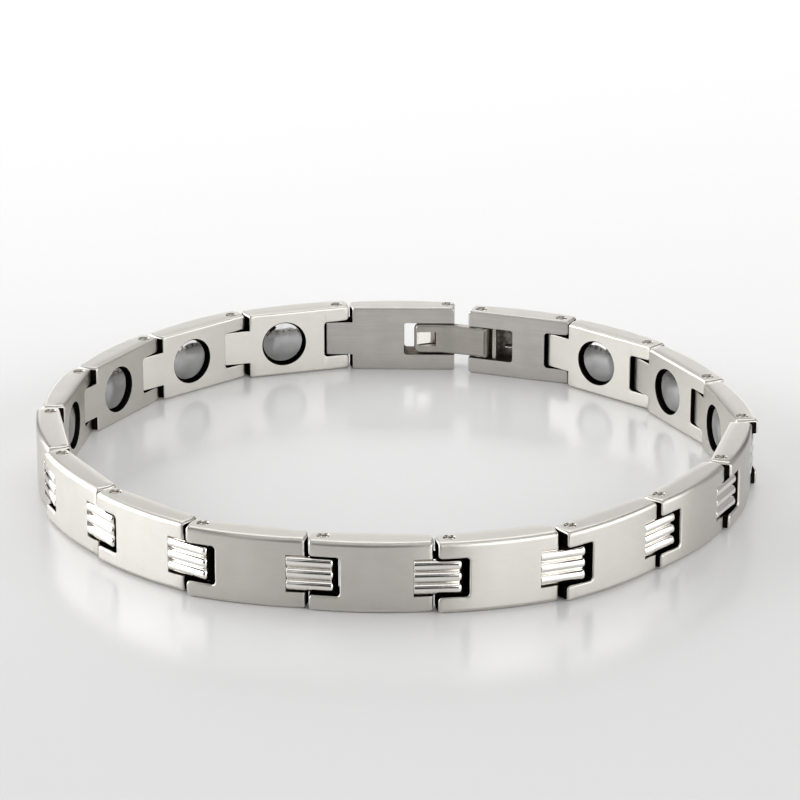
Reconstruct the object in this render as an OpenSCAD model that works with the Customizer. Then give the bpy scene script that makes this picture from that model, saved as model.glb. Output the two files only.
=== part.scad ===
// Magnetic link bracelet, closed into a loop that stands on the lower edge of its band.
// A link has two ears at its rear end and a ribbed tongue at its front end. Each tongue turns
// on a plain pin between the ears of the next link, and a magnet lies in the inner face.
// The links run counter-clockwise seen from above, and two clasp links close the loop.
// In a link's own frame X runs forwards along the band from the pin in its ears, Y points to
// the wrist and Z is up. All lengths are in millimetres.

/* [Band] */
// Distance between the two pin axes of a link
link_pitch = 11.5; // [10.5:0.1:15]
// Height of the band as it stands, which is its width on the wrist
band_width = 7; // [6:0.1:11]
// Thickness of every link at its two ends
end_thickness = 2.2; // [2.1:0.05:3.2]
// Radius of the outer face along a link
outer_radius = 34; // [24:1:70]
// Corner radius of a link seen from outside
corner_radius = 0.35; // [0.1:0.05:0.6]
// Rounding of the long outer edges
edge_round = 0.35; // [0.1:0.05:0.5]
// Chamfer of the outer edge at both ends of a link
end_chamfer = 0.2; // [0.05:0.05:0.4]

/* [Hinges] */
// Diameter of the pins
pin_diameter = 1; // [0.7:0.05:1.1]
// Radial clearance of every pin in its bore
pin_clearance = 0.05; // [0.02:0.01:0.08]
// Depth of the pin axes below the inner face
pin_depth = 0.95; // [0.85:0.05:1.1]
// How far the pin ends lie below the edges of the band
pin_recess = 0.12; // [0.05:0.01:0.4]
// Distance from a pin axis to the end of the ears around it
ear_reach = 1.3; // [1.1:0.05:1.8]
// Gap between a shoulder and the next ears where two links lie in line
seam_gap = 0.12; // [0.08:0.01:0.4]
// Radius of the round end of a tongue about its pin
tongue_reach = 1.38; // [1.3:0.01:1.5]
// Gap between the round end of a tongue and the floor of its slot
tip_gap = 0.18; // [0.12:0.01:0.4]
// Height of the tongue
tongue_height = 3.6; // [2.8:0.1:5]
// Gap above and below a tongue in its slot
tongue_side_gap = 0.12; // [0.1:0.01:0.4]
// How far the end of the ears leans back at the inner face
ear_relief = 0.2; // [0.15:0.01:0.5]
// How far the shoulder leans back at the inner face
shoulder_relief = 0.35; // [0.3:0.01:0.9]

/* [Ribs] */
// Number of ribs on a tongue
rib_count = 3; // [2:1:4]
// Length of the ribs on the plate, before the tongue begins
rib_lead = 1.75; // [1:0.05:2]
// Height of the rib crests above the plate where they start
rib_rise = 0.06; // [0:0.01:0.2]
// Depth of the rib recess below the crests
rib_relief = 0.45; // [0.35:0.01:0.55]
// Slope of the ribs towards the wrist, in degrees
rib_tilt = 6; // [3:0.5:9]
// How far neighbouring ribs overlap
rib_overlap = 0.05; // [0.02:0.01:0.15]
// Step between the outermost rib and the side of the tongue
rib_side_step = 0.05; // [0.02:0.01:0.15]
// Groove between the outermost rib and the wall of the recess
rib_groove = 0.03; // [0.02:0.01:0.2]
// Distance from the nose of a rib to the round end of the tongue
rib_nose_step = 0.35; // [0.25:0.01:0.5]
// Rounding of the nose of a rib
rib_nose = 0.35; // [0.1:0.05:0.4]

/* [Magnets] */
// Diameter of a magnet
magnet_diameter = 4.5; // [3:0.1:4.8]
// Height of the straight rim of a magnet
magnet_rim = 0.6; // [0.3:0.05:0.8]
// Rise of the polished dome above the rim
magnet_dome = 0.4; // [0.2:0.05:0.9]
// Depth of the dome's crown below the inner face
magnet_recess = 0.15; // [0.05:0.05:0.5]
// Clearance around and under a magnet in its pocket
magnet_clearance = 0.05; // [0.03:0.01:0.1]
// Distance from the middle of the two pins to the magnet, towards the tongue
magnet_shift = 0.25; // [-0.2:0.05:0.4]

/* [Clasp] */
// Distance from the ear pin to the lever's hinge pin on the hinge link
hinge_link_pitch = 8.8; // [8.3:0.1:12]
// Distance from the lever's hinge pin to the bend over the catch
lever_pitch = 3.8; // [3.4:0.1:5]
// Distance from the catch to the tongue pin of the catch link
catch_link_pitch = 11.8; // [10.8:0.1:15]
// Angle between the two clasp links, which the lever is bent to, in degrees
clasp_bend = 18; // [12:1:24]
// Inner radius of the bend in the lever
lever_bend_radius = 8; // [5:0.5:9]
// Distance from the lever's hinge pin to the end of the hinge link
hinge_end = 1.15; // [1:0.05:1.4]
// Distance from the catch to the end of the catch link
catch_end = 0.75; // [0.7:0.05:1]
// Height of the lever
lever_height = 3.25; // [2.8:0.05:4.2]
// Gap above and below the lever in the two clasp links
lever_side_gap = 0.15; // [0.08:0.01:0.3]
// Thickness of the lever
lever_thickness = 0.7; // [0.55:0.05:0.75]
// Radius of the knuckle around the lever's hinge pin
knuckle_radius = 0.85; // [0.75:0.05:0.85]
// Length of the lever's tail behind its hinge pin
lever_tail = 0.9; // [0.8:0.05:0.95]
// Rounding of the lever's tail
tail_round = 0.35; // [0.2:0.05:0.45]
// Length of the lever beyond the catch
lever_overrun = 3.5; // [3:0.1:4.5]
// Rounding of the corners of the lever's free end
lever_corner = 0.6; // [0.2:0.05:1]
// Clearance between the lever's tail, as it turns, and the floor of its pocket
pocket_clearance = 0.05; // [0.03:0.01:0.1]
// Rounding of the closed ends of the lever's pockets
pocket_corner = 0.3; // [0.1:0.05:0.5]
// Length of the pocket in the hinge link
hinge_pocket = 4.9; // [4.4:0.1:6]
// Gap between the free end of the lever and the end of its pocket
nail_gap = 1.1; // [0.8:0.1:1.5]
// How far the through window in the catch link reaches under the lever
window_lap = 0.5; // [0.3:0.1:0.8]
// Gap between the lever and the catch pin that lies under it
catch_pin_gap = 0.1; // [0.08:0.01:0.14]
// Thickness of the catch tongue cut from the lever
catch_thickness = 0.35; // [0.25:0.05:0.4]
// Height of the catch tongue
catch_height = 1.3; // [1:0.1:1.6]
// Width of the cut around the catch tongue
catch_cut = 0.12; // [0.08:0.01:0.2]
// Gap between the catch tongue and the catch pin
catch_clearance = 0.12; // [0.1:0.01:0.16]
// Distance from the root of the catch tongue to the lever's free end
catch_root = 0.3; // [0.25:0.05:0.5]
// Length of the cut that shows past the catch tongue, from the catch pin's axis
catch_cut_start = 1.2; // [0.9:0.1:1.5]
// Diameter of the cross pin behind the lever's tail
cross_pin_diameter = 0.6; // [0.5:0.05:0.65]
// Gap between the swing of the lever's tail and the cross pin
cross_pin_gap = 0.17; // [0.1:0.01:0.4]
// Depth of the cross pin's axis below the inner face
cross_pin_depth = 0.6; // [0.5:0.05:0.9]
// How far the cross pin is let into the upper arm of the hinge link
cross_pin_seat = 0.4; // [0.2:0.05:0.8]

/* [Hidden] */
// Turn from each link to the next, in degrees, as the band lies in its loop
BENDS = [24, 18, 22, 20, 20, 18, 27, 13, 17, 27, 14, 20, 28, 15, 21];
// Direction of the first link, in degrees from the X axis
FIRST_HEADING = 196.7;

// How much the bends may be scaled to close the loop, and how often that span is halved
LEAST_BEND = 0.6;
MOST_BEND = 1.12;
HALVINGS = 40;
// Steps along an outer face when the loop's outside is measured
FACE_STEPS = 8;
// How far a cutting shape reaches past the surface that it cuts
bite = 0.5;
// Sides of the large arcs
fine = 180;

satin_steel = [0.78, 0.77, 0.75];
clasp_steel = [0.72, 0.71, 0.69];
lever_steel = [0.7, 0.69, 0.67];
pin_steel = [0.62, 0.61, 0.6];
dark_magnet = [0.16, 0.16, 0.17];

link_count = len(BENDS) + 1;
middle = band_width / 2;
pin_radius = pin_diameter / 2;
bore_radius = pin_radius + pin_clearance;
outer_end_y = pin_depth - end_thickness;
slot_height = tongue_height + 2 * tongue_side_gap;
slot_floor = tongue_reach + tip_gap;
shoulder_back = ear_reach + seam_gap;
rib_radius = (tongue_height - 2 * rib_side_step + (rib_count - 1) * rib_overlap) / (2 * rib_count);
rib_spacing = 2 * rib_radius - rib_overlap;
magnet_bore_depth = magnet_recess + magnet_dome + magnet_rim + magnet_clearance;
magnet_x = link_pitch / 2 + magnet_shift;
pocket_height = lever_height + 2 * lever_side_gap;
pocket_floor_y = -max(knuckle_radius, lever_tail) - pocket_clearance;
lever_outer_y = pin_depth - lever_thickness;
catch_pin_y = lever_outer_y - catch_pin_gap - pin_radius;

// The cross pin lies just outside the circle that the lever's tail turns through
tail_swing = norm([lever_tail - tail_round, pin_depth - tail_round]) + tail_round;
cross_pin_y = pin_depth - cross_pin_depth;
cross_pin_x = hinge_link_pitch
  - sqrt(pow(tail_swing + cross_pin_gap + cross_pin_diameter / 2, 2) - pow(cross_pin_y, 2));
cross_pin_top = middle + pocket_height / 2 + cross_pin_seat;

// Rear and front end of each kind of plate, measured from its rear axis
link_plate = [-ear_reach, link_pitch - shoulder_back];
hinge_plate = [-ear_reach, hinge_link_pitch + hinge_end];
catch_plate = [-catch_end, catch_link_pitch - shoulder_back];

// Centre of a plate's curved outer face, and the height of that face at x
function face_middle(plate) = (plate[0] + plate[1]) / 2;
function face_centre_y(plate) =
  outer_end_y + sqrt(pow(outer_radius, 2) - pow((plate[1] - plate[0]) / 2, 2));
function outer_y(plate, x) =
  face_centre_y(plate) - sqrt(pow(outer_radius, 2) - pow(x - face_middle(plate), 2));

// Line of the rib crests: where it starts, and its height at x
function rib_start(plate) = plate[1] - rib_lead;
function crest_y(plate, x) =
  outer_y(plate, rib_start(plate)) - rib_rise + (x - rib_start(plate)) * tan(rib_tilt);
function rib_tip(plate) = plate[1] + shoulder_back + tongue_reach - rib_nose_step;

// The loop. The bends are scaled by one factor, found by halving, that leaves just the span
// of the closed clasp between the last tongue pin and the first ear pin.
function sum(values, count) = count <= 0 ? 0 : values[count - 1] + sum(values, count - 1);
function along(angle) = [cos(angle), sin(angle)];
function turned(point, angle) =
  [point.x * cos(angle) - point.y * sin(angle), point.x * sin(angle) + point.y * cos(angle)];
function chain_point(count, factor) =
  count <= 0 ? [0, 0]
  : chain_point(count - 1, factor) + link_pitch * along(factor * sum(BENDS, count - 1));
function closing_factor(low, high, steps) =
  let (guess = (low + high) / 2)
  steps == 0 ? guess
  : norm(chain_point(link_count, guess)) > norm(clasp_span)
    ? closing_factor(guess, high, steps - 1)
    : closing_factor(low, guess, steps - 1);

first_bar = hinge_link_pitch + lever_pitch;
clasp_span = first_bar * along(0) + catch_link_pitch * along(clasp_bend);
bend_factor = closing_factor(LEAST_BEND, MOST_BEND, HALVINGS);
raw_end = chain_point(link_count, bend_factor);
hinge_heading = atan2(-raw_end.y, -raw_end.x) - atan2(clasp_span.y, clasp_span.x);

// Places before the loop is centred: each is the origin and heading of a link's frame
raw_links = [
  for (i = [0:link_count - 1])
    [turned(chain_point(i, bend_factor), FIRST_HEADING),
     FIRST_HEADING + bend_factor * sum(BENDS, i)]
];
raw_hinge = [turned(raw_end, FIRST_HEADING), FIRST_HEADING + hinge_heading];
raw_catch = [raw_hinge[0] + first_bar * along(raw_hinge[1]), raw_hinge[1] + clasp_bend];

// Points on the outside of a plate and its ribs, which set the size of the loop
function face_points(plate) =
  let (first = plate[0] + end_chamfer, run = plate[1] - plate[0] - 2 * end_chamfer)
  [for (step = [0:FACE_STEPS])
    let (x = first + run * step / FACE_STEPS)
    [x, outer_y(plate, x)]];
function rib_points(plate) =
  [for (x = [rib_start(plate), plate[1], rib_tip(plate) - rib_nose]) [x, crest_y(plate, x)]];
function placed(points, place) = [for (p = points) place[0] + turned(p, place[1])];
outside = [
  for (place = raw_links) each placed(concat(face_points(link_plate), rib_points(link_plate)), place),
  each placed(face_points(hinge_plate), raw_hinge),
  each placed(concat(face_points(catch_plate), rib_points(catch_plate)), raw_catch)
];
outside_x = [for (p = outside) p.x];
outside_y = [for (p = outside) p.y];
centre = [(min(outside_x) + max(outside_x)) / 2, (min(outside_y) + max(outside_y)) / 2];

function centred(place) = [place[0] - centre, place[1]];
link_places = [for (place = raw_links) centred(place)];
hinge_place = centred(raw_hinge);
catch_place = centred(raw_catch);
lever_place = [hinge_place[0] + hinge_link_pitch * along(hinge_place[1]), hinge_place[1]];
// Ear pins of all links, then the pin in the ears of the hinge link
pin_points = concat([for (place = link_places) place[0]], [hinge_place[0]]);

function two_digits(i) = str(i < 10 ? "0" : "", i);
function numbered(name, last) = [for (i = [1:last]) str(name, "_", two_digits(i))];
$fn = 64;

// Waste outside a rounded corner: inward points from the corner into the shape
module corner_waste(corner, inward, radius) {
  size = radius + bite;
  translate(corner + radius * inward)
    difference() {
      translate([inward.x > 0 ? -size : 0, inward.y > 0 ? -size : 0]) square(size);
      circle(radius);
    }
}

// A shape drawn in X and Z, as thick as the band of Y between y0 and y1
module facing(y0, y1) {
  translate([0, y1, 0]) rotate([90, 0, 0]) linear_extrude(y1 - y0) children();
}

// Cut in X and Z, open at the rear, with rounded corners at its floor
module rear_cut(rear, floor_x, height, radius) {
  low = middle - height / 2;
  high = middle + height / 2;
  difference() {
    translate([rear - bite, low]) square([floor_x - rear + bite, height]);
    corner_waste([floor_x, low], [-1, 1], radius);
    corner_waste([floor_x, high], [-1, -1], radius);
  }
}

// Section of the band, swept around the centre of the curved outer face
module curved_band(plate) {
  translate([face_middle(plate), face_centre_y(plate), 0])
    rotate_extrude($fn = fine)
      difference() {
        translate([outer_radius - 2 * end_thickness, 0]) square([2 * end_thickness, band_width]);
        corner_waste([outer_radius, 0], [-1, 1], edge_round);
        corner_waste([outer_radius, band_width], [-1, -1], edge_round);
      }
}

// Plan of a plate: ends that lean back towards the inner face, and chamfers outside
module plate_plan(plate, rear_relief, front_relief) {
  reach = end_thickness;
  polygon([
    [plate[0] + rear_relief, pin_depth],
    [plate[0], 0],
    [plate[0], outer_end_y + end_chamfer],
    [plate[0] + end_chamfer + reach, outer_end_y - reach],
    [plate[1] - end_chamfer - reach, outer_end_y - reach],
    [plate[1], outer_end_y + end_chamfer],
    [plate[1], 0],
    [plate[1] - front_relief, pin_depth]
  ]);
}

module plate_body(plate, rear_relief, front_relief) {
  intersection() {
    curved_band(plate);
    linear_extrude(band_width) plate_plan(plate, rear_relief, front_relief);
    facing(-2 * end_thickness, pin_depth + bite)
      difference() {
        translate([plate[0], 0]) square([plate[1] - plate[0], band_width]);
        corner_waste([plate[0], 0], [1, 1], corner_radius);
        corner_waste([plate[0], band_width], [1, -1], corner_radius);
        corner_waste([plate[1], 0], [-1, 1], corner_radius);
        corner_waste([plate[1], band_width], [-1, -1], corner_radius);
      }
  }
}

// Tongue as a block with a round end about its pin, which still reaches out to the crest line
module tongue_block(plate) {
  root = rib_start(plate);
  axis = plate[1] + shoulder_back;
  translate([0, 0, middle - tongue_height / 2])
    linear_extrude(tongue_height)
      intersection() {
        union() {
          polygon([
            [root, pin_depth],
            [axis, pin_depth],
            [axis, outer_end_y],
            [plate[1], outer_end_y],
            [root, 0]
          ]);
          translate([axis, 0]) circle(tongue_reach);
        }
        translate([root, outer_end_y]) square([axis + tongue_reach - root, end_thickness]);
      }
}

// Waste above the sloping bed that the ribs stand on
module rib_recess(plate) {
  root = rib_start(plate);
  end = plate[1] + shoulder_back + tongue_reach + bite;
  height = tongue_height + 2 * rib_groove;
  translate([0, 0, middle - height / 2])
    linear_extrude(height)
      polygon([
        [root, crest_y(plate, root) + rib_relief],
        [end, crest_y(plate, end) + rib_relief],
        [end, outer_end_y - end_thickness],
        [root, outer_end_y - end_thickness]
      ]);
}

// Round ribs along the bed, each with a flat nose and a rounded rim
module ribs(plate) {
  root = rib_start(plate);
  run = (rib_tip(plate) - root) / cos(rib_tilt);
  first = middle - (rib_count - 1) * rib_spacing / 2;
  for (i = [0:rib_count - 1])
    translate([root, crest_y(plate, root) + rib_radius / cos(rib_tilt), first + i * rib_spacing])
      rotate([0, 90, rib_tilt])
        rotate_extrude()
          difference() {
            square([rib_radius, run]);
            corner_waste([rib_radius, run], [-1, -1], rib_nose);
          }
}

// Slot between the ears, with the corners of the ears rounded like those of the plate
module ear_slot(plate) {
  low = middle - slot_height / 2;
  high = middle + slot_height / 2;
  facing(-2 * end_thickness, pin_depth + bite)
    union() {
      rear_cut(plate[0], slot_floor, slot_height, corner_radius);
      corner_waste([plate[0], low], [1, -1], corner_radius);
      corner_waste([plate[0], high], [1, 1], corner_radius);
    }
}

module pin_bore(x, y, radius) {
  translate([x, y, -bite]) cylinder(h = band_width + 2 * bite, r = radius);
}

module pin_rod() {
  translate([0, 0, pin_recess]) cylinder(h = band_width - 2 * pin_recess, r = pin_radius);
}

// A plate with its ribbed tongue
module tongued_plate(plate, rear_relief) {
  union() {
    difference() {
      union() {
        plate_body(plate, rear_relief, shoulder_relief);
        tongue_block(plate);
      }
      rib_recess(plate);
    }
    ribs(plate);
  }
}

module link() {
  color(satin_steel)
    difference() {
      tongued_plate(link_plate, ear_relief);
      ear_slot(link_plate);
      pin_bore(0, 0, bore_radius);
      pin_bore(link_pitch, 0, bore_radius);
      translate([magnet_x, pin_depth + bite, middle])
        rotate([90, 0, 0])
          cylinder(h = magnet_bore_depth + bite, r = magnet_diameter / 2 + magnet_clearance);
    }
}

// Magnet: a disc with a polished dome that faces the wrist
module magnet() {
  radius = magnet_diameter / 2;
  dome_radius = (pow(radius, 2) + pow(magnet_dome, 2)) / (2 * magnet_dome);
  color(dark_magnet)
    translate([magnet_x, pin_depth - magnet_bore_depth + magnet_clearance, middle])
      rotate([-90, 0, 0])
        rotate_extrude()
          intersection() {
            square([radius, magnet_rim + magnet_dome]);
            translate([0, magnet_rim + magnet_dome - dome_radius]) circle(dome_radius, $fn = fine);
          }
}

module link_pin() {
  color(pin_steel) pin_rod();
}

// Pocket for the lever in the inner face, down to floor_y, with a rounded closed end
module lever_pocket(open_x, closed_x, floor_y) {
  low = middle - pocket_height / 2;
  high = middle + pocket_height / 2;
  inward = closed_x > open_x ? -1 : 1;
  facing(floor_y, pin_depth + bite)
    difference() {
      translate([min(open_x, closed_x), low]) square([abs(closed_x - open_x), pocket_height]);
      corner_waste([closed_x, low], [inward, 1], pocket_corner);
      corner_waste([closed_x, high], [inward, -1], pocket_corner);
    }
}

module hinge_link() {
  end = hinge_plate[1];
  color(clasp_steel)
    difference() {
      plate_body(hinge_plate, ear_relief, 0);
      ear_slot(hinge_plate);
      lever_pocket(end + bite, end - hinge_pocket, pocket_floor_y);
      pin_bore(0, 0, bore_radius);
      pin_bore(hinge_link_pitch, 0, bore_radius);
      translate([cross_pin_x, cross_pin_y, -bite])
        cylinder(h = cross_pin_top + pin_clearance + bite, r = cross_pin_diameter / 2 + pin_clearance);
    }
}

module catch_link() {
  pocket_end = lever_overrun + nail_gap;
  color(clasp_steel)
    difference() {
      tongued_plate(catch_plate, 0);
      lever_pocket(catch_plate[0] - bite, pocket_end, pocket_floor_y);
      lever_pocket(lever_overrun - window_lap, pocket_end, -2 * end_thickness);
      pin_bore(0, catch_pin_y, bore_radius);
      pin_bore(catch_link_pitch, 0, bore_radius);
    }
}

// The frame of the catch link, seen from the lever's own frame
module beyond_bend() {
  translate([lever_pitch, 0, 0]) rotate([0, 0, clasp_bend]) children();
}

// The lever's strip: tail, knuckle and straight, then the bend, then the free end
module lever_strip() {
  corner_x = pin_depth * tan(clasp_bend / 2);
  tangent = lever_bend_radius * tan(clasp_bend / 2);
  bend_x = lever_pitch - corner_x - tangent;
  union() {
    linear_extrude(lever_height)
      union() {
        difference() {
          translate([-lever_tail, lever_outer_y]) square([lever_tail + bend_x, lever_thickness]);
          corner_waste([-lever_tail, pin_depth], [1, -1], tail_round);
        }
        circle(knuckle_radius);
      }
    translate([bend_x, pin_depth + lever_bend_radius, 0])
      rotate([0, 0, -90])
        rotate_extrude(angle = clasp_bend, $fn = fine)
          translate([lever_bend_radius, 0]) square([lever_thickness, lever_height]);
    beyond_bend()
      facing(lever_outer_y, pin_depth)
        difference() {
          translate([corner_x + tangent, 0])
            square([lever_overrun - corner_x - tangent, lever_height]);
          corner_waste([lever_overrun, 0], [-1, 1], lever_corner);
          corner_waste([lever_overrun, lever_height], [-1, -1], lever_corner);
        }
  }
}

// Catch tongue: it slopes outwards from its root to the far side of the catch pin
module catch_tongue() {
  root = [lever_overrun - catch_root, pin_depth - lever_thickness / 2];
  end = [pin_radius + catch_clearance, catch_pin_y];
  run = norm(root - end);
  slope = atan2(root.y - end.y, root.x - end.x);
  translate([end.x, end.y, middle - catch_height / 2])
    rotate([0, 0, slope])
      translate([0, -catch_thickness / 2, 0]) cube([run, catch_thickness, catch_height]);
}

module clasp_lever() {
  cut_height = catch_height + 2 * catch_cut;
  cut_length = lever_overrun - catch_root - catch_cut_start;
  color(lever_steel)
    difference() {
      union() {
        difference() {
          translate([0, 0, middle - lever_height / 2]) lever_strip();
          beyond_bend()
            translate([catch_cut_start, -end_thickness, middle - cut_height / 2])
              cube([cut_length, 2 * end_thickness, cut_height]);
        }
        beyond_bend() catch_tongue();
      }
      pin_bore(0, 0, bore_radius);
    }
}

module lever_pin() {
  color(pin_steel) translate([hinge_link_pitch, 0, 0]) pin_rod();
}

module catch_pin() {
  color(pin_steel) translate([0, catch_pin_y, 0]) pin_rod();
}

// Plain pin let in from the lower edge, across the pocket behind the lever's tail
module cross_pin() {
  color(pin_steel)
    translate([cross_pin_x, cross_pin_y, pin_recess])
      cylinder(h = cross_pin_top - pin_recess, r = cross_pin_diameter / 2);
}

module at(place) {
  translate([place[0].x, place[0].y, 0]) rotate([0, 0, place[1]]) children();
}

for (i = [0:link_count - 1]) {
  at(link_places[i]) link();
  at(link_places[i]) magnet();
}
for (i = [0:link_count])
  at([pin_points[i], 0]) link_pin();
at(hinge_place) hinge_link();
at(catch_place) catch_link();
at(lever_place) clasp_lever();
at(hinge_place) lever_pin();
at(catch_place) catch_pin();
at(hinge_place) cross_pin();
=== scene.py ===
import math

import bmesh
import bpy
from mathutils import Matrix, Vector


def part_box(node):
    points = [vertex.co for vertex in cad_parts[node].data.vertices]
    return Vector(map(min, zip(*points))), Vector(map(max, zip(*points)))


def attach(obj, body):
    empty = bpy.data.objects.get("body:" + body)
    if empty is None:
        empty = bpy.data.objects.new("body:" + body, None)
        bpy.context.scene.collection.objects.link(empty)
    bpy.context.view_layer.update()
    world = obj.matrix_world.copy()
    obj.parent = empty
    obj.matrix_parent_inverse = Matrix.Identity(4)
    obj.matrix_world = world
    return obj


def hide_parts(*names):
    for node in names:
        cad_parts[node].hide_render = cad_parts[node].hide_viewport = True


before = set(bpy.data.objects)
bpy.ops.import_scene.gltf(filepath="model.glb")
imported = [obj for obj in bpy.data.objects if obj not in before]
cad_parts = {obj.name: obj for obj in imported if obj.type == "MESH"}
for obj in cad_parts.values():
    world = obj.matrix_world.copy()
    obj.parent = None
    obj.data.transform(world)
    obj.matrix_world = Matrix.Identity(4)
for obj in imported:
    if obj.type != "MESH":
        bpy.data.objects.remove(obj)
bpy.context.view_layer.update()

# A magnetic link bracelet in stainless steel, standing on the edge of its band. Lengths are in
# millimetres until a mesh is finished. In a link's own frame X runs along the band from the pin in
# its ears to the pin in its tongue, Y points to the wrist and Z is up.
MM = 0.001

# The plates
END_THICKNESS = 2.2
OUTER_RADIUS = 34.0
CORNER_RADIUS = 0.35
LONG_EDGE = 0.5         # rounding of the outer long edges
SHORT_EDGE = 0.18       # rounding of the outer edges round the ends and the slot
SKIN_EDGE = 0.28        # rounding of the long edges against the skin
SLOT_EDGE = 0.1         # rounding of the slot's edges against the skin
EDGE_SHARE = 0.9        # share of a corner's rounding that still counts as the band's edge
BEND_STEP = 0.55        # spacing of the cuts that let a plate curve
BEND_REAR = 0.8         # from the rear end to the first cut
BEND_FRONT = 0.4        # from the last cut to the front end
OUTER_SIDE = -0.3       # what lies beyond this depth follows the curve of the outer face

# The hinges
PIN_DEPTH = 0.95        # from the inner face to the axes of the pins
PIN_CLEARANCE = 0.05
PIN_CHAMFER = 0.08
PIN_CROWN = 0.08
PIN_MOUTH = 0.04        # countersink where a pin's bore meets the edge of the band
EAR_REACH = 1.3
SHOULDER_BACK = 1.42
TONGUE_REACH = 1.38     # radius of the round end of a tongue about its pin
TIP_GAP = 0.18
TONGUE_HEIGHT = 3.6
TONGUE_EDGE = 0.08
TONGUE_STEP = math.radians(6)
TONGUE_FOLD = math.radians(30)     # sharper folds of a tongue are rounded
SLOT_HEIGHT = 3.84
EAR_RELIEF = 0.2
SHOULDER_RELIEF = 0.35

# The ribs
RIB_COUNT = 3
RIB_LEAD = 1.75
RIB_RISE = 0.06
RIB_RELIEF = 0.45
RIB_TILT = math.radians(6)
RIB_RADIUS = 0.6
RIB_SPACING = 1.15
RIB_GROOVE = 0.03
RIB_NOSE = 0.35
RIB_NOSE_STEP = 0.15    # set by its look: 0.35 in the solids
RIB_HEEL = 0.08         # rounding of a rib where it starts
RIB_ROOT = 0.03         # how far a rib is rooted in the plate behind its start

# The magnets
MAGNET_SHIFT = 0.25
MAGNET_RIM = 0.7        # set by its look: 0.6 in the solids
MAGNET_DOME = 0.3       # set by its look: 0.4 in the solids
MAGNET_SHOULDER = 0.1   # rounding of the rim
MAGNET_RECESS = 0.08    # set by its look: 0.15 in the solids
MAGNET_CLEARANCE = 0.05
BORE_CHAMFER = 0.1

# The clasp
CATCH_LINK_PITCH = 11.8
CLASP_BEND = math.radians(18)
LEVER_PITCH = 3.8
LEVER_BEND_RADIUS = 8.0
HINGE_END = 1.15
CATCH_END = 0.75
LEVER_HEIGHT = 3.25
LEVER_SIDE_GAP = 0.15
LEVER_THICKNESS = 0.7
KNUCKLE_RADIUS = 0.85
LEVER_TAIL = 0.9
TAIL_ROUND = 0.35
TAIL_CORNER = 0.06
TAIL_RUN = 0.1          # how far the tail's own rounding reaches along the lever
LEVER_EDGE = 0.36
LEVER_BACK_EDGE = 0.05  # rounding of the edges on the lever's outer side
LEVER_RING = 0.1        # from the lever's outer side to the ring of points in its walls
LEVER_CUTS = 10         # parts that the lever's bend is cut into
KNUCKLE_STEP = 0.02     # how far the knuckle's ends lie inside the lever's edges
LEVER_CORNER = 0.6
LEVER_OVERRUN = 3.5
POCKET_FLOOR = -0.95
POCKET_CORNER = 0.3
SHARP_CORNER = 0.01     # for corners and edges that stay as good as sharp
SHARP_EDGE = 0.005
HINGE_POCKET = 4.9
CROSS_END_GAP = 0.2     # room past the end of the cross pin
SPRING_RADIUS = 0.15    # wire of the snap spring, of which one end shows in the hinge link's pocket
SPRING_REACH = 1.4
SPRING_LIFT = 0.3       # from the pocket's floor to the wire's axis
SPRING_DROP = 0.65      # from the middle of the band down to the wire's axis
NAIL_GAP = 1.1
WINDOW_LAP = 0.5
CATCH_THICKNESS = 0.35
CATCH_HEIGHT = 1.3
CATCH_CUT = 0.12
CATCH_CLEARANCE = 0.12
CATCH_ROOT = 0.3
CATCH_SINK = 0.03       # from the middle of the lever's sheet to the root of its catch
CATCH_CUT_START = 1.2

# How far a cutter reaches past the surface that it cuts
BITE = 0.5

# How finely curves are drawn
COARSE_STEPS = 4
CORNER_STEPS = 5
FINE_STEPS = 6
DOME_STEPS = 24
DOME_START = 3          # first step of the dome, clear of the rounded rim
MAGNET_SIDES = 72
PIN_SIDES = 32
SPRING_SIDES = 16

# The share of a normal that tells which way a face looks
MOSTLY = 0.5

# The numbers of a steel piece's finishes. The third and the fourth are dull steel whose dark colours are
# painted shade, in crevices and in the lever's pockets.
FACE, POLISHED, CREVICE_SHADE, POCKET = 0, 1, 2, 3


def middle_of(node):
    low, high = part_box(node)
    return (low + high) / 2 / MM


def size_of(node):
    low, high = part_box(node)
    return (high - low) / MM


LINKS = range(1, len([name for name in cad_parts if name.startswith("magnet_")]) + 1)
pins = [middle_of(f"link_pin_{number:02d}") for number in range(1, len(LINKS) + 2)]
BAND_WIDTH = size_of("link_01").z
MIDDLE = BAND_WIDTH / 2
LINK_PITCH = (pins[1] - pins[0]).length
PIN_RADIUS = size_of("link_pin_01").x / 2
PIN_LENGTH = size_of("link_pin_01").z
CROSS_RADIUS = size_of("cross_pin").x / 2
MAGNET_RADIUS = size_of("magnet_01").z / 2
HINGE_LINK_PITCH = (middle_of("lever_pin") - pins[-1]).length
BORE_RADIUS = PIN_RADIUS + PIN_CLEARANCE
LEVER_OUTER = PIN_DEPTH - LEVER_THICKNESS
OUTER_END = PIN_DEPTH - END_THICKNESS


class Plate:
    """The run of one plate between its rear and front end, and the curve of its outer face."""

    def __init__(self, rear, front):
        self.rear = rear
        self.front = front
        self.centre_y = OUTER_END + math.sqrt(OUTER_RADIUS**2 - ((front - rear) / 2) ** 2)
        self.rib_start = front - RIB_LEAD
        self.axis = front + SHOULDER_BACK
        self.tip = self.axis + TONGUE_REACH

    def outer(self, x):
        """The depth of the curved outer face at x."""
        x = min(max(x, self.rear), self.front)
        return self.centre_y - math.sqrt(OUTER_RADIUS**2 - (x - (self.rear + self.front) / 2) ** 2)

    def crest(self, x):
        """The depth of the ribs' crests at x. They sink towards the tip of the tongue."""
        return self.outer(self.rib_start) - RIB_RISE + (x - self.rib_start) * math.tan(RIB_TILT)


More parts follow.
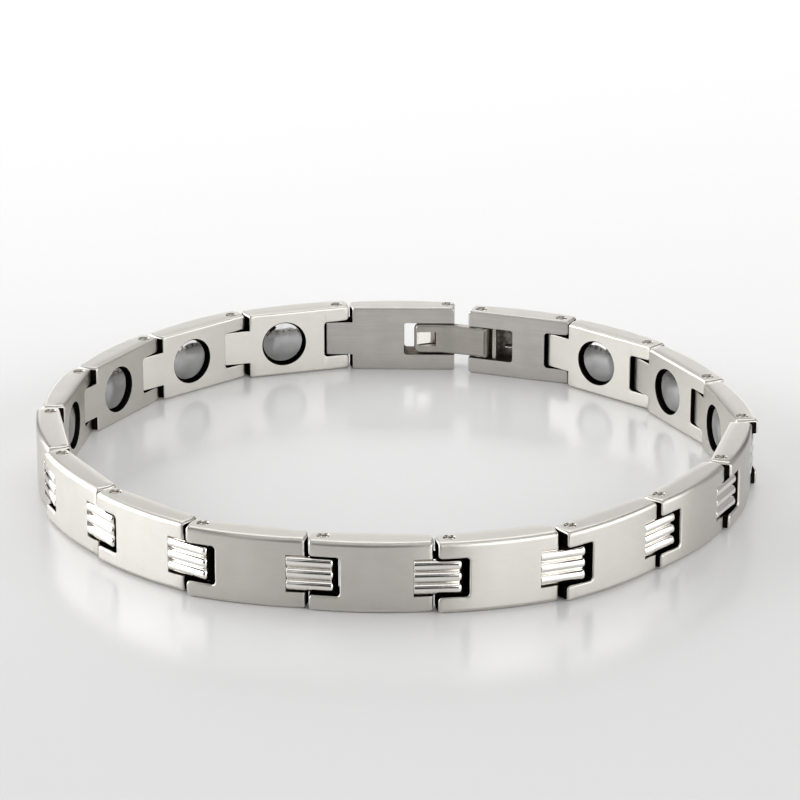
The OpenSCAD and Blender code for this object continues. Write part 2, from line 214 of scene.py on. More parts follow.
link_plate = Plate(-EAR_REACH, LINK_PITCH - SHOULDER_BACK)
hinge_plate = Plate(-EAR_REACH, HINGE_LINK_PITCH + HINGE_END)
catch_plate = Plate(-CATCH_END, CATCH_LINK_PITCH - SHOULDER_BACK)


# Mesh tools


def rounded(corners, steps=CORNER_STEPS):
    """A closed outline through corners (x, z, radius, lean), with an arc at each corner. Lean is how
    far a point moves along X at the inner face."""
    points = []
    for i, (x, z, radius, lean) in enumerate(corners):
        here = Vector((x, z))
        before = (Vector(corners[i - 1][:2]) - here).normalized()
        after = (Vector(corners[(i + 1) % len(corners)][:2]) - here).normalized()
        tangent = radius / math.tan(before.angle(after) / 2)
        centre = here + (before + after).normalized() * math.hypot(radius, tangent)
        start = here + before * tangent - centre
        turn = start.angle_signed(here + after * tangent - centre)
        for step in range(steps + 1):
            spoke = start.copy()
            spoke.rotate(Matrix.Rotation(-turn * step / steps, 2))
            points.append((centre + spoke, lean))
    return points


def insets(outline):
    """For each point of an outline that runs anticlockwise, the step inwards for an inset of 1."""
    steps = []
    for i, (point, lean) in enumerate(outline):
        back = (point - outline[i - 1][0]).normalized()
        ahead = (outline[(i + 1) % len(outline)][0] - point).normalized()
        normal = Vector((-back.y - ahead.y, back.x + ahead.x)).normalized()
        steps.append(normal / max(0.5, normal.dot(Vector((-ahead.y, ahead.x)))))
    return steps


def quarter(steps):
    """(inset, drop) of the points of a quarter round of radius 1, from its side to its top."""
    angles = [math.pi / 2 * step / steps for step in range(steps + 1)]
    return [(1 - math.cos(a), 1 - math.sin(a)) for a in angles]


def on_edge(point):
    """Whether a point of an outline lies on a long edge of the band or on a corner that leads to it."""
    return min(point.y, BAND_WIDTH - point.y) < CORNER_RADIUS * EDGE_SHARE


def slab(outline, outer_y, inner_y, outer_edge, inner_edge, lean_from=0.0):
    """A slab over an outline in X and Z, with rounded edges. The edges are functions of a point. Its
    straight walls, apart from those along the edges of the band, get the dark finish that stands for
    painted shade in the crevices."""
    inward = insets(outline)
    rings = [(inner_edge, inset, inner_y, -drop) for inset, drop in reversed(quarter(COARSE_STEPS))]
    rings.append((None, 0, lean_from, 0))
    rings += [(outer_edge, inset, outer_y, drop) for inset, drop in quarter(FINE_STEPS)]
    mesh = bmesh.new()
    made = []
    for edge, inset, y, drop in rings:
        ring = []
        for (point, lean), step in zip(outline, inward):
            radius = edge(point) if edge else 0
            depth = y + drop * radius
            spot = point + step * inset * radius
            shift = lean * max(0, depth - lean_from) / (inner_y - lean_from)
            ring.append(mesh.verts.new((spot.x + shift, depth, spot.y)))
        made.append(ring)
    mesh.faces.new(made[0])
    for (edge, inset, *_), low, high in zip(rings[1:], made, made[1:]):
        for i in range(len(outline)):
            face = mesh.faces.new((low[i - 1], low[i], high[i], high[i - 1]))
            if inset == 0 and not all(on_edge(point) for point, lean in (outline[i - 1], outline[i])):
                # Walls off the band's edges stand in crevices and get painted shade
                face.material_index = CREVICE_SHADE
    mesh.faces.new(list(reversed(made[-1])))
    bmesh.ops.recalc_face_normals(mesh, faces=mesh.faces)
    return mesh


def cut_across(mesh, stations):
    """Cuts a mesh across at each X of the stations, so that it can bend there."""
    for x in stations:
        bmesh.ops.bisect_plane(
            mesh, geom=mesh.verts[:] + mesh.edges[:] + mesh.faces[:], dist=1e-5,
            plane_co=(x, 0, 0), plane_no=(1, 0, 0))


def steps_between(low, high, step):
    """Even steps from low to high, about one step apart."""
    count = max(1, round((high - low) / step))
    return [low + (high - low) * i / count for i in range(count + 1)]


def lathe(profile, axis, sides=48):
    """A solid turned round the axis from a profile of (distance along the axis, radius)."""
    mesh = bmesh.new()
    rings = []
    for along, radius in profile:
        if radius == 0:
            rings.append([mesh.verts.new((0, 0, along))])
            continue
        angles = [2 * math.pi * side / sides for side in range(sides)]
        rings.append([mesh.verts.new((radius * math.cos(a), radius * math.sin(a), along)) for a in angles])
    for low, high in zip(rings, rings[1:]):
        for i in range(sides):
            start = [low[i - 1], low[i]] if len(low) > 1 else [low[0]]
            end = [high[i], high[i - 1]] if len(high) > 1 else [high[0]]
            mesh.faces.new(start + end)
    turn = {"X": Matrix.Rotation(math.pi / 2, 4, "Y"), "Y": Matrix.Rotation(-math.pi / 2, 4, "X"),
            "Z": Matrix.Identity(4)}
    mesh.transform(turn[axis])
    bmesh.ops.recalc_face_normals(mesh, faces=mesh.faces)
    return mesh


def prism(plan, low, high):
    """An upright prism over a plan in X and Y."""
    mesh = bmesh.new()
    rings = [[mesh.verts.new((x, y, z)) for x, y in plan] for z in (low, high)]
    for ring in rings:
        mesh.faces.new(ring)
    for i in range(len(plan)):
        mesh.faces.new((rings[0][i - 1], rings[0][i], rings[1][i], rings[1][i - 1]))
    bmesh.ops.recalc_face_normals(mesh, faces=mesh.faces)
    return mesh


def moved(mesh, x=0.0, y=0.0, z=0.0, turn=0.0):
    mesh.transform(Matrix.Translation((x, y, z)) @ Matrix.Rotation(turn, 4, "Z"))
    return mesh


def as_object(mesh, name):
    data = bpy.data.meshes.new(name)
    mesh.to_mesh(data)
    mesh.free()
    made = bpy.data.objects.new(name, data)
    bpy.context.scene.collection.objects.link(made)
    return made


def combine(base, steps):
    """Applies (operation, mesh, material number) steps to the base as exact booleans. Without a
    number, a mesh keeps its own."""
    body = as_object(base, "body")
    for operation, mesh, material in steps:
        for face in mesh.faces:
            face.material_index = face.material_index if material is None else material
        tool = as_object(mesh, "tool")
        # A boolean drops the numbers of finishes for which a mesh has no place
        for data in (body.data, tool.data):
            while len(data.materials) <= POCKET:
                data.materials.append(None)
        change = body.modifiers.new("change", "BOOLEAN")
        change.operation = operation
        change.solver = "EXACT"
        change.object = tool
        graph = bpy.context.evaluated_depsgraph_get()
        result = bpy.data.meshes.new_from_object(body.evaluated_get(graph))
        body.modifiers.clear()
        old = body.data
        body.data = result
        bpy.data.meshes.remove(old)
        bpy.data.objects.remove(tool)
    data = body.data
    bpy.data.objects.remove(body)
    return data


# The bracelet's own pieces


def plate_slab(plate, outline):
    """A plate's slab, curved outside, with its broad rounded long edges."""

    def blend(point, at_side, elsewhere):
        near = min(point.y, BAND_WIDTH - point.y) / CORNER_RADIUS
        return elsewhere + (at_side - elsewhere) * max(0, 1 - near)

    mesh = slab(outline, OUTER_END, PIN_DEPTH, lambda point: blend(point, LONG_EDGE, SHORT_EDGE),
                lambda point: blend(point, SKIN_EDGE, SLOT_EDGE))
    cut_across(mesh, steps_between(plate.rear + BEND_REAR, plate.front - BEND_FRONT, BEND_STEP))
    for vertex in mesh.verts:
        if vertex.co.y < OUTER_SIDE:
            vertex.co.y += plate.outer(vertex.co.x) - OUTER_END
    return mesh


def link_outline(plate, slotted, rear_lean, front_lean):
    low, high = MIDDLE - SLOT_HEIGHT / 2, MIDDLE + SLOT_HEIGHT / 2
    floor = TONGUE_REACH + TIP_GAP
    corners = [(plate.rear, 0, CORNER_RADIUS, rear_lean), (plate.front, 0, CORNER_RADIUS, front_lean),
               (plate.front, BAND_WIDTH, CORNER_RADIUS, front_lean),
               (plate.rear, BAND_WIDTH, CORNER_RADIUS, rear_lean)]
    if slotted:
        corners += [(plate.rear, high, CORNER_RADIUS, rear_lean), (floor, high, CORNER_RADIUS, 0),
                    (floor, low, CORNER_RADIUS, 0), (plate.rear, low, CORNER_RADIUS, rear_lean)]
    return rounded(corners)


def tongue(plate):
    """The tongue, with its round end about the pin's axis. The end and the sides get the dark finish that
    stands for painted shade in the slot.
    """
    low, high = math.asin(OUTER_END / TONGUE_REACH), math.asin(PIN_DEPTH / TONGUE_REACH)
    plan = [(plate.rib_start, PIN_DEPTH), (plate.rib_start, 0), (plate.front, OUTER_END)]
    plan += [(plate.axis + TONGUE_REACH * math.cos(a), TONGUE_REACH * math.sin(a))
             for a in steps_between(low, high, TONGUE_STEP)]
    mesh = prism(plan, MIDDLE - TONGUE_HEIGHT / 2, MIDDLE + TONGUE_HEIGHT / 2)
    for face in mesh.faces:
        flat = abs(face.normal.y) > MOSTLY and face.calc_center_median().x < plate.axis
        face.material_index = FACE if flat else CREVICE_SHADE
    corners = [edge for edge in mesh.edges if edge.calc_face_angle() > TONGUE_FOLD]
    bmesh.ops.bevel(mesh, geom=corners, offset=TONGUE_EDGE, segments=3, profile=0.5, affect="EDGES",
                    clamp_overlap=True, material=FACE)
    return mesh


def bore(radius, x, y, low=-BITE, high=BAND_WIDTH + BITE):
    """The cutter for a plain upright bore."""
    return moved(lathe([(low, 0), (low, radius), (high, radius), (high, 0)], "Z"), x, y)


def pin_bore(x, y):
    """A pin's bore from edge to edge of the band, with a countersunk mouth at each."""
    wide = BORE_RADIUS + PIN_MOUTH + BITE
    half = [(-BITE, 0), (-BITE, wide), (PIN_MOUTH, BORE_RADIUS)]
    far = [(BAND_WIDTH - along, radius) for along, radius in reversed(half)]
    return moved(lathe(half + far, "Z"), x, y)


def rib_bed(plate):
    """The cutter that clears the tongue's outer side down to the bed that the ribs lie on."""
    end = plate.tip + BITE
    far = OUTER_END - END_THICKNESS
    height = TONGUE_HEIGHT + 2 * RIB_GROOVE
    bed = prism(
        [(plate.rib_start, plate.crest(plate.rib_start) + RIB_RELIEF), (end, plate.crest(end) + RIB_RELIEF),
         (end, far), (plate.rib_start, far)], MIDDLE - height / 2, MIDDLE + height / 2)
    for face in bed.faces:
        # The bed under the ribs gets painted shade
        face.material_index = CREVICE_SHADE if face.normal.y > MOSTLY else POLISHED
    return bed


def ribs(plate):
    """The steps that add the ribs: rods that lean inwards to the tip, with a rounded heel and nose."""
    start = plate.rib_start - RIB_ROOT
    run = (plate.tip - RIB_NOSE_STEP - start) / math.cos(RIB_TILT)
    heel = [(RIB_HEEL * inset, RIB_RADIUS - RIB_HEEL * drop) for inset, drop in quarter(COARSE_STEPS)]
    nose = [(run - RIB_NOSE * inset, RIB_RADIUS - RIB_NOSE * drop)
            for inset, drop in reversed(quarter(FINE_STEPS))]
    profile = [(0, 0)] + heel + nose + [(run, 0)]
    made = []
    for i in range(RIB_COUNT):
        z = MIDDLE + (i - (RIB_COUNT - 1) / 2) * RIB_SPACING
        y = plate.crest(start) + RIB_RADIUS / math.cos(RIB_TILT)
        made.append(("UNION", moved(lathe(profile, "X"), start, y, z, RIB_TILT), POLISHED))
    return made


def magnet_bore():
    """The cutter for a magnet's round pocket, with a chamfered mouth."""
    radius = MAGNET_RADIUS + MAGNET_CLEARANCE
    depth = MAGNET_RECESS + MAGNET_DOME + MAGNET_RIM + MAGNET_CLEARANCE
    profile = [(PIN_DEPTH - depth, 0), (PIN_DEPTH - depth, radius), (PIN_DEPTH - BORE_CHAMFER, radius),
               (PIN_DEPTH + BITE, radius + BORE_CHAMFER + BITE), (PIN_DEPTH + BITE, 0)]
    return moved(lathe(profile, "Y", MAGNET_SIDES), LINK_PITCH / 2 + MAGNET_SHIFT, 0, MIDDLE)


def lever_pocket(open_x, closed_x, floor):
    """Cutter for the lever's pocket, from above the inner face down to its floor."""
    low = MIDDLE - LEVER_HEIGHT / 2 - LEVER_SIDE_GAP
    high = MIDDLE + LEVER_HEIGHT / 2 + LEVER_SIDE_GAP
    radii = (POCKET_CORNER, SHARP_CORNER) if closed_x < open_x else (SHARP_CORNER, POCKET_CORNER)
    left, right = sorted((open_x, closed_x))
    outline = rounded([(left, low, radii[0], 0), (right, low, radii[1], 0),
                       (right, high, radii[1], 0), (left, high, radii[0], 0)])
    return slab(outline, floor, PIN_DEPTH + BITE, lambda point: SHARP_EDGE, lambda point: SHARP_EDGE)


def link_mesh():
    base = plate_slab(link_plate, link_outline(link_plate, True, EAR_RELIEF, -SHOULDER_RELIEF))
    return combine(base, [
        ("UNION", tongue(link_plate), None),
        ("DIFFERENCE", rib_bed(link_plate), None)] + ribs(link_plate) + [
        ("DIFFERENCE", pin_bore(0, 0), POLISHED),
        ("DIFFERENCE", bore(BORE_RADIUS, LINK_PITCH, 0), FACE),
        # The wall of the magnet's bore gets painted shade
        ("DIFFERENCE", magnet_bore(), CREVICE_SHADE)])


def spring_end(wall_x):
    """The end of the snap spring's wire, which comes out of the closed wall of the pocket."""
    round_end = [(SPRING_REACH - SPRING_RADIUS * inset, SPRING_RADIUS - SPRING_RADIUS * drop)
                 for inset, drop in reversed(quarter(COARSE_STEPS))]
    wire = lathe([(-BITE, 0), (-BITE, SPRING_RADIUS)] + round_end, "X", SPRING_SIDES)
    return moved(wire, wall_x, POCKET_FLOOR + SPRING_LIFT, MIDDLE - SPRING_DROP)


def hinge_link_mesh():
    base = plate_slab(hinge_plate, link_outline(hinge_plate, True, EAR_RELIEF, 0))
    end = hinge_plate.front
    cross = hinge_place.inverted() @ middle_of("cross_pin")
    cross_top = size_of("cross_pin").z + CROSS_END_GAP
    cross_bore = bore(CROSS_RADIUS + PIN_CLEARANCE, cross.x, cross.y, -BITE, cross_top)
    return combine(base, [
        # The lever's pocket is painted dark grey as shade
        ("DIFFERENCE", lever_pocket(end + BITE, end - HINGE_POCKET, POCKET_FLOOR), POCKET),
        ("DIFFERENCE", pin_bore(0, 0), POLISHED),
        ("DIFFERENCE", pin_bore(HINGE_LINK_PITCH, 0), POLISHED),
        ("DIFFERENCE", cross_bore, FACE),
        ("UNION", spring_end(end - HINGE_POCKET), POLISHED)])


def catch_link_mesh():
    base = plate_slab(catch_plate, link_outline(catch_plate, False, 0, -SHOULDER_RELIEF))
    pocket_end = LEVER_OVERRUN + NAIL_GAP
    beyond_plate = -2 * END_THICKNESS
    window = lever_pocket(LEVER_OVERRUN - WINDOW_LAP, pocket_end, beyond_plate)
    return combine(base, [
        ("UNION", tongue(catch_plate), None),
        ("DIFFERENCE", rib_bed(catch_plate), None)] + ribs(catch_plate) + [
        # The lever's pocket and its window are painted dark grey as shade
        ("DIFFERENCE", lever_pocket(catch_plate.rear - BITE, pocket_end, POCKET_FLOOR), POCKET),
        ("DIFFERENCE", window, POCKET),
        ("DIFFERENCE", pin_bore(0, catch_pin_y), POLISHED),
        ("DIFFERENCE", bore(BORE_RADIUS, CATCH_LINK_PITCH, 0), FACE)])


def beyond_bend(mesh):
    """Moves a mesh that is drawn for the lever's part beyond its bend to its place there."""
    return moved(mesh, LEVER_PITCH, 0, 0, CLASP_BEND)


def lever_mesh():
    """The lever: a strip with rounded edges, bent over the gap, with its knuckle and catch tongue."""
    corner = PIN_DEPTH * math.tan(CLASP_BEND / 2)
    tangent = LEVER_BEND_RADIUS * math.tan(CLASP_BEND / 2)
    bend_start = LEVER_PITCH - corner - tangent
    centre = Vector((bend_start, PIN_DEPTH + LEVER_BEND_RADIUS))
    arc = LEVER_BEND_RADIUS * CLASP_BEND
    end = bend_start + arc + LEVER_OVERRUN - corner - tangent
    low, high = MIDDLE - LEVER_HEIGHT / 2, MIDDLE + LEVER_HEIGHT / 2
    outline = rounded([(-LEVER_TAIL, low, TAIL_CORNER, 0), (end, low, LEVER_CORNER, 0),
                       (end, high, LEVER_CORNER, 0), (-LEVER_TAIL, high, TAIL_CORNER, 0)])

    def inner_edge(point):
        return TAIL_ROUND if point.x < TAIL_RUN - LEVER_TAIL else LEVER_EDGE

    strip = slab(outline, LEVER_OUTER, PIN_DEPTH, lambda point: LEVER_BACK_EDGE, inner_edge,
                 LEVER_OUTER + LEVER_RING)
    for face in strip.faces:
        face.material_index = FACE
    cut_across(strip, [bend_start + arc * i / LEVER_CUTS for i in range(LEVER_CUTS + 1)])
    for vertex in strip.verts:
        over = vertex.co.x - bend_start
        angle = min(max(over / LEVER_BEND_RADIUS, 0), CLASP_BEND)
        radius = centre.y - vertex.co.y
        straight = over - angle * LEVER_BEND_RADIUS if over > 0 else over
        vertex.co.x = centre.x + radius * math.sin(angle) + straight * math.cos(angle)
        vertex.co.y = centre.y - radius * math.cos(angle) + straight * math.sin(angle)
    bottom, top = low + KNUCKLE_STEP, high - KNUCKLE_STEP
    knuckle = lathe([(bottom, 0), (bottom, KNUCKLE_RADIUS), (top, KNUCKLE_RADIUS), (top, 0)], "Z")
    cut_height = CATCH_HEIGHT + 2 * CATCH_CUT
    cut_end = LEVER_OVERRUN - CATCH_ROOT
    cut = prism([(CATCH_CUT_START, -END_THICKNESS), (cut_end, -END_THICKNESS),
                 (cut_end, END_THICKNESS), (CATCH_CUT_START, END_THICKNESS)],
                MIDDLE - cut_height / 2, MIDDLE + cut_height / 2)
    root = Vector((LEVER_OVERRUN - CATCH_ROOT / 2, PIN_DEPTH - LEVER_THICKNESS / 2 + CATCH_SINK))
    tip = Vector((PIN_RADIUS + CATCH_CLEARANCE, catch_pin_y))
    slope = math.atan2(root.y - tip.y, root.x - tip.x)
    half = CATCH_THICKNESS / 2
    run = (root - tip).length
    tongue = prism([(0, -half), (run, -half), (run, half), (0, half)],
                   MIDDLE - CATCH_HEIGHT / 2, MIDDLE + CATCH_HEIGHT / 2)
    moved(tongue, tip.x, tip.y, 0, slope)
    return combine(strip, [
        ("UNION", knuckle, FACE), ("DIFFERENCE", beyond_bend(cut), FACE),
        ("UNION", beyond_bend(tongue), POLISHED), ("DIFFERENCE", bore(BORE_RADIUS, 0, 0), FACE)])


def finished(mesh):
    """The data of a mesh that needs no boolean."""
    data = bpy.data.meshes.new("mesh")
    mesh.to_mesh(data)
    mesh.free()
    return data


def magnet_mesh():
    """A magnet: a disc with a polished dome. Its profile runs from its floor to its crown."""
    floor = PIN_DEPTH - MAGNET_RECESS - MAGNET_DOME - MAGNET_RIM
    rim = floor + MAGNET_RIM
    dome_radius = (MAGNET_RADIUS**2 + MAGNET_DOME**2) / (2 * MAGNET_DOME)
    spread = math.asin(MAGNET_RADIUS / dome_radius)
    profile = [(floor, 0), (floor, MAGNET_RADIUS)]
    profile += [(rim - MAGNET_SHOULDER * drop, MAGNET_RADIUS - MAGNET_SHOULDER * inset)
                for inset, drop in quarter(CORNER_STEPS)]
    for step in range(DOME_START, DOME_STEPS + 1):
        angle = spread * (1 - step / DOME_STEPS)
        height = rim + MAGNET_DOME - dome_radius * (1 - math.cos(angle))
        profile.append((height, dome_radius * math.sin(angle)))
    return moved(lathe(profile, "Y", MAGNET_SIDES), LINK_PITCH / 2 + MAGNET_SHIFT, 0, MIDDLE)


def pin_mesh(radius, length):
    """A pin with softened rims and crowned ends, centred on its own middle."""
    half = length / 2
    flat = radius - PIN_CHAMFER
    rim = half - PIN_CROWN
    end = [(rim - PIN_CHAMFER, radius), (rim - PIN_CHAMFER / 4, radius - PIN_CHAMFER / 4), (rim, flat)]
    end += [(half - PIN_CROWN * share**2, flat * share) for share in (0.75, 0.5, 0.25)] + [(half, 0)]
    return lathe([(-along, r) for along, r in reversed(end)] + end, "Z", PIN_SIDES)


# Places of the pieces' own frames


def place(origin, ahead, lead=0.0):
    """The frame at origin whose X axis points ahead, turned by lead, on the plane of the lower edges."""
    heading = math.atan2(ahead.y - origin.y, ahead.x - origin.x) + lead
    return Matrix.Translation((origin.x, origin.y, 0)) @ Matrix.Rotation(heading, 4, "Z")


link_places = [place(here, ahead) for here, ahead in zip(pins, pins[1:])]
hinge_place = place(pins[-1], middle_of("lever_pin"))
lever_place = place(middle_of("lever_pin"), 2 * middle_of("lever_pin") - pins[-1])
catch_to_tongue = (pins[0] - middle_of("catch_pin")).length
catch_pin_y = -math.sqrt(catch_to_tongue**2 - CATCH_LINK_PITCH**2)
catch_lead = -math.atan2(-catch_pin_y, CATCH_LINK_PITCH)
catch_place = place(pins[0], 2 * pins[0] - middle_of("catch_pin"), catch_lead)
catch_place = catch_place @ Matrix.Translation((-CATCH_LINK_PITCH, 0, 0))


# Finishes


def srgb(code):
    """A colour written as sRGB hex, turned to linear."""
    values = [int(code[i:i + 2], 16) / 255 for i in (0, 2, 4)]
    return tuple(v / 12.92 if v <= 0.04045 else ((v + 0.055) / 1.055) ** 2.4 for v in values) + (1,)


def add(tree, kind, inputs=None, **settings):
    """Adds a node: its settings by name, and its inputs as values or as other nodes' outputs."""
    made = tree.nodes.new("ShaderNode" + kind)
    for name, value in settings.items():
        setattr(made, name, value)
    for name, value in (inputs or {}).items():
        if isinstance(value, bpy.types.NodeSocket):
            tree.links.new(value, made.inputs[name])
        else:
            made.inputs[name].default_value = value
    return made


def blank(name):
    material = bpy.data.materials.new(name)
    material.use_nodes = True
    material.node_tree.nodes.clear()
    return material, material.node_tree


# The range that most values of a noise lie in
NOISE_LOW, NOISE_HIGH = 0.35, 0.65
# How much a brushed face's roughness varies, and by what factors that of a bright metal does
GLOSS_CHANGE = 0.03
DULLER, BRIGHTER = 1.4, 0.7


def per_mm(*sizes):
    """The scales, in marks per metre, of a pattern whose marks have these sizes in millimetres."""
    return tuple(1 / (size * MM) for size in sizes)


def brushed_steel(name, light, dark, roughness, spread, scratch, depth):
    """Stainless steel brushed along the band. Scratch is the length and width of its marks and depth
    their depth. The marks run along X, so a reflection is drawn out across the band."""
    material, tree = blank(name)
    position = add(tree, "TexCoord").outputs["Object"]
    length, width = scratch
    drawn = add(tree, "Mapping", {"Vector": position, "Scale": per_mm(length, width, width)}).outputs[0]
    marks = add(tree, "TexNoise", {
        "Vector": drawn, "Scale": 1.0, "Detail": 4.0, "Roughness": 0.65}).outputs[0]
    clouds = add(tree, "TexNoise", {
        "Vector": position, "Scale": per_mm(CLOUD_SIZE)[0], "Detail": 3.0}).outputs[0]
    both = add(tree, "Math", {0: marks, 1: clouds}, operation="ADD").outputs[0]
    reach = {"Value": both, "From Min": 2 * NOISE_LOW, "From Max": 2 * NOISE_HIGH}
    share = add(tree, "MapRange", reach).outputs[0]
    colour = add(tree, "MixRGB", {"Fac": share, "Color1": srgb(dark), "Color2": srgb(light)}).outputs[0]
    gloss = add(tree, "MapRange", reach | {
        "To Min": roughness + GLOSS_CHANGE, "To Max": roughness - GLOSS_CHANGE}).outputs[0]
    relief = add(tree, "Bump", {"Height": marks, "Strength": 1.0, "Distance": depth * MM}).outputs[0]
    across = add(tree, "Tangent", direction_type="RADIAL", axis="X").outputs[0]
    shader = add(tree, "BsdfPrincipled", {
        "Base Color": colour, "Metallic": 1.0, "Roughness": gloss, "Anisotropic": spread,
        "Tangent": across, "Normal": relief})
    add(tree, "OutputMaterial", {"Surface": shader.outputs[0]})
    return material


def bright_metal(name, light, dark, roughness, scuff, depth, rim="ffffff"):
    """A metal with no grain. Faint scuffs of one size, in all directions, break its mirror a little,
    and rim is its tint where it is seen at a low angle."""
    material, tree = blank(name)
    position = add(tree, "TexCoord").outputs["Object"]
    scuffs = add(tree, "TexNoise", {
        "Vector": position, "Scale": per_mm(scuff)[0], "Detail": 4.0}).outputs[0]
    reach = {"Value": scuffs, "From Min": NOISE_LOW, "From Max": NOISE_HIGH}
    share = add(tree, "MapRange", reach).outputs[0]
    colour = add(tree, "MixRGB", {"Fac": share, "Color1": srgb(dark), "Color2": srgb(light)}).outputs[0]
    gloss = add(tree, "MapRange", reach | {
        "To Min": roughness * DULLER, "To Max": roughness * BRIGHTER}).outputs[0]
    relief = add(tree, "Bump", {"Height": scuffs, "Strength": 1.0, "Distance": depth * MM}).outputs[0]
    shader = add(tree, "BsdfPrincipled", {
        "Base Color": colour, "Metallic": 1.0, "Roughness": gloss, "Normal": relief,
        "Specular Tint": srgb(rim)})
    add(tree, "OutputMaterial", {"Surface": shader.outputs[0]})
    return material


# Slow changes of tone over a satin face, where the brushing belt pressed harder
CLOUD_SIZE = 2.5
# Satin brushing has scratches of about 0.02 mm. They are drawn 0.12 mm wide, so that they show.
SATIN_SCRATCH = (3.0, 0.12)
# The clasp is brushed with a coarser belt, whose lines of about 0.05 mm are drawn 0.2 mm wide.
CLASP_SCRATCH = (5.0, 0.2)

# Walls of slots, tongues and the magnets' pockets and the beds under the ribs: dull milled steel, with a
# near-black colour that is painted shade for the depth of these narrow crevices.
crevice_shade_steel = bright_metal(
    "stainless_wall_painted_shade", light="1e1b19", dark="161412", roughness=0.5, scuff=0.3, depth=0.002,
    rim="1e1b19")
# Floors and walls of the lever's pockets, end-milled and then tumbled: dull, with a dark grey colour that
# is painted shade for the recess.
pocket_shade_steel = bright_metal(
    "stainless_pocket_painted_shade", light="8f8a84", dark="726d67", roughness=0.4, scuff=0.4, depth=0.002,
    rim="8f8a84")
# Links of 316L steel with a satin belt finish: soft, even, warm light grey, with no clear mirror.
satin_steel = brushed_steel(
    "stainless_316_satin_brushed", light="dad7d1", dark="d4d1ca", roughness=0.33, spread=0.7,
    scratch=SATIN_SCRATCH, depth=0.0003)
# Ribs, pin bores, the lever's catch and the spring's end, polished on a felt wheel: a near mirror with
# hard highlights.
polished_steel = bright_metal(
    "stainless_316_polished", light="f4f1ec", dark="efece7", roughness=0.13, scuff=1.5, depth=0.0001)
# Clasp links, brushed with a coarser belt: a little darker, with fine lines along the band.
clasp_steel = brushed_steel(
    "stainless_316_line_brushed", light="dbd8d3", dark="cecbc6", roughness=0.42, spread=0.5,
    scratch=CLASP_SCRATCH, depth=0.0015)
# Lever of hard rolled strip: darker and duller than the links.
lever_steel = brushed_steel(
    "stainless_301_strip_brushed", light="cbc6bf", dark="bdb8b1", roughness=0.4, spread=0.7,
    scratch=CLASP_SCRATCH, depth=0.002)
# Pins of drawn wire with crowned, burnished ends: small bright dots.
pin_steel = bright_metal(
    "stainless_304_drawn_wire", light="c4c0ba", dark="b4b0aa", roughness=0.2, scuff=0.25, depth=0.0008)
# Magnets plated with nickel and lacquered: a dark, clear mirror.
magnet_plating = bright_metal(
    "nickel_plated_magnet", light="9c9c9c", dark="929292", roughness=0.06, scuff=1.2, depth=0.0001)


# Assembly


# Faces that meet at a sharper angle keep a crisp edge between them
CRISP_ANGLE = math.radians(28)


def ready(data, materials):
    """Turns a mesh to metres, gives it its materials and keeps its flat faces flat in shading."""
    data.transform(Matrix.Scale(MM, 4))
    # Slot by slot, because emptying the list would also reset the number on each face
    for number, material in enumerate(materials):
        if number == len(data.materials):
            data.materials.append(None)
        data.materials[number] = material
    data.shade_smooth()
    data.set_sharp_from_angle(angle=CRISP_ANGLE)
    holder = bpy.data.objects.new("holder", data)
    bpy.context.scene.collection.objects.link(holder)
    flat = holder.modifiers.new("flat", "WEIGHTED_NORMAL")
    flat.keep_sharp = True
    graph = bpy.context.evaluated_depsgraph_get()
    shaded = bpy.data.meshes.new_from_object(holder.evaluated_get(graph))
    bpy.data.objects.remove(holder)
    bpy.data.meshes.remove(data)
    return shaded


def fit_piece(name, data, node, matrix, body):
    """Puts a finished mesh where its node lies and ties it to its body."""
    made = bpy.data.objects.new(name, data)
    bpy.context.scene.collection.objects.link(made)
    made.matrix_world = Matrix.Translation(matrix.to_translation() * MM) @ matrix.to_3x3().to_4x4()
    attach(made, body)
    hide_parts(node)


link_data = ready(link_mesh(), (satin_steel, polished_steel, crevice_shade_steel, pocket_shade_steel))
magnet_data = ready(finished(magnet_mesh()), (magnet_plating,))
pin_data = ready(finished(pin_mesh(PIN_RADIUS, PIN_LENGTH)), (pin_steel,))
cross_pin_data = ready(finished(pin_mesh(CROSS_RADIUS, size_of("cross_pin").z)), (pin_steel,))
for number, at in zip(LINKS, link_places):
    fit_piece(f"plate_{number:02d}", link_data, f"link_{number:02d}", at, "band")
    fit_piece(f"magnet_disc_{number:02d}", magnet_data, f"magnet_{number:02d}", at, "band")
for number, point in enumerate(pins, start=1):
    at = Matrix.Translation(point)
    fit_piece(f"pin_{number:02d}", pin_data, f"link_pin_{number:02d}", at, "band")
for node, data in (("lever_pin", pin_data), ("catch_pin", pin_data), ("cross_pin", cross_pin_data)):
    fit_piece(node + "_rod", data, node, Matrix.Translation(middle_of(node)), "band")
clasp_finish = (clasp_steel, polished_steel, crevice_shade_steel, pocket_shade_steel)
hinge_data = ready(hinge_link_mesh(), clasp_finish)
fit_piece("hinge_plate", hinge_data, "hinge_link", hinge_place, "band")
catch_data = ready(catch_link_mesh(), clasp_finish)
fit_piece("catch_plate", catch_data, "catch_link", catch_place, "band")
lever_data = ready(lever_mesh(), (lever_steel, polished_steel, crevice_shade_steel, pocket_shade_steel))
fit_piece("lever", lever_data, "clasp_lever", lever_place, "lever")


# Camera, table and light

# The camera looks along +Y and down. Lengths in millimetres, for a picture of 800 by 800.
CAMERA_ELEVATION = math.radians(20.604)
CAMERA_DISTANCE = 393.9
CAMERA_TARGET = (0.39, 0, 8.25)
CAMERA_LENS = 180

# The stage, in metres
TABLE_HALF = 0.7
LAMP_DISTANCE = 0.75


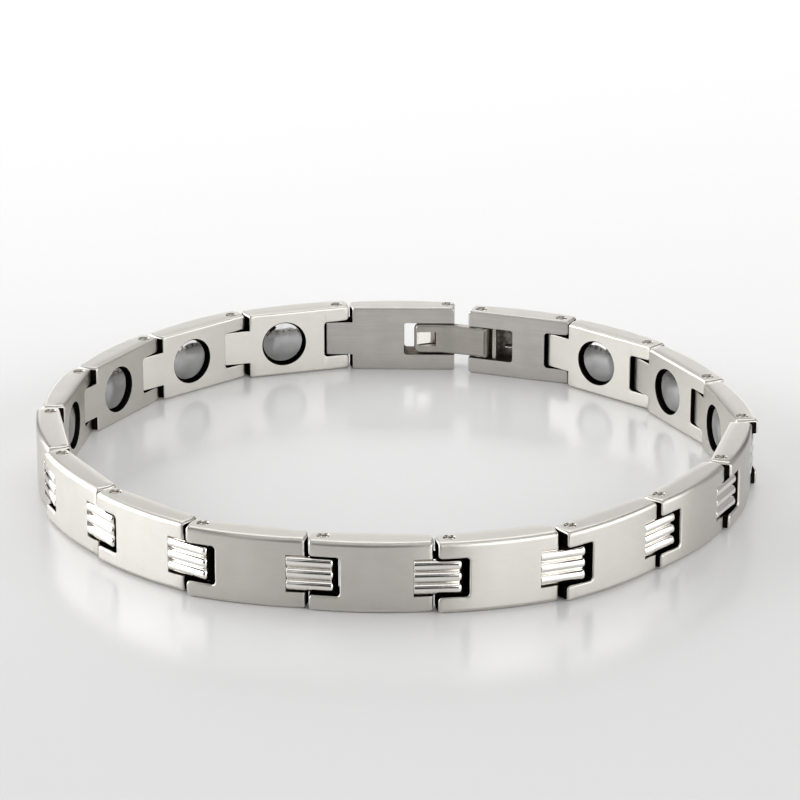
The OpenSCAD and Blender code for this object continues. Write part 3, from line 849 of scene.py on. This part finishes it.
def look_from(elevation, distance, target, lens):
    camera = bpy.data.cameras.new("camera")
    camera.lens = lens
    camera.sensor_width = 36
    camera.clip_start = 0.01
    camera.clip_end = 20
    made = bpy.data.objects.new("camera", camera)
    bpy.context.scene.collection.objects.link(made)
    ahead = Vector((0, math.cos(elevation), -math.sin(elevation)))
    turn = ahead.to_track_quat("-Z", "Y").to_matrix().to_4x4()
    made.matrix_world = Matrix.Translation((Vector(target) - ahead * distance) * MM) @ turn
    bpy.context.scene.camera = made


def table_top(half):
    """A plain sheet of white acrylic. It is glossy enough to hold a soft reflection of the band."""
    mesh = bmesh.new()
    bmesh.ops.create_grid(mesh, x_segments=8, y_segments=8, size=half)
    data = finished(mesh)
    made = bpy.data.objects.new("table_top", data)
    bpy.context.scene.collection.objects.link(made)
    material, tree = blank("acrylic_sheet_cast_white")
    shader = add(tree, "BsdfPrincipled", {"Base Color": srgb("e8e8e8"), "Roughness": 0.2})
    add(tree, "OutputMaterial", {"Surface": shader.outputs[0]})
    data.materials.append(material)


def softbox(name, azimuth, elevation, size, radiance):
    """A lamp that faces the bracelet. Azimuth 0 is the camera's side and 90 is the right, in degrees,
    and size is its width and height, in degrees as the bracelet sees it."""
    light = bpy.data.lights.new(name, "AREA")
    light.shape = "RECTANGLE"
    light.size, light.size_y = (2 * LAMP_DISTANCE * math.tan(math.radians(angle) / 2) for angle in size)
    light.energy = radiance * math.pi * light.size * light.size_y
    made = bpy.data.objects.new(name, light)
    bpy.context.scene.collection.objects.link(made)
    around, up = math.radians(azimuth), math.radians(elevation)
    away = Vector((math.sin(around) * math.cos(up), -math.cos(around) * math.cos(up), math.sin(up)))
    turn = (-away).to_track_quat("-Z", "Y").to_matrix().to_4x4()
    made.matrix_world = Matrix.Translation(away * LAMP_DISTANCE) @ turn


def dark_room(colour, strength):
    """The faint light that comes from everywhere between the lamps."""
    world = bpy.data.worlds.new("dark_room")
    bpy.context.scene.world = world
    world.use_nodes = True
    world.node_tree.nodes["Background"].inputs["Color"].default_value = srgb(colour)
    world.node_tree.nodes["Background"].inputs["Strength"].default_value = strength


look_from(CAMERA_ELEVATION, CAMERA_DISTANCE, CAMERA_TARGET, CAMERA_LENS)
table_top(TABLE_HALF)
softbox("overhead", 180, 70, (56, 34), 1.8)
softbox("front_top", 0, 58, (60, 24), 1.1)
softbox("front_low", 0, 28, (56, 14), 0.28)
softbox("front_left", -42, 19, (34, 34), 0.4)
softbox("left", -82, 19, (44, 34), 3.6)
softbox("left_rear", -122, 19, (34, 34), 3.0)
softbox("rear", 180, 12, (50, 20), 1.6)
softbox("rear_top", 180, 44, (60, 20), 1.2)
softbox("right_rear", 120, 19, (38, 34), 0.4)
softbox("right", 80, 19, (40, 34), 2.4)
softbox("front_right", 38, 19, (40, 34), 2.5)
dark_room("3c3a38", 0.3)
# Plain sRGB contrast, as in a product photograph
bpy.context.scene.view_settings.view_transform = "Standard"
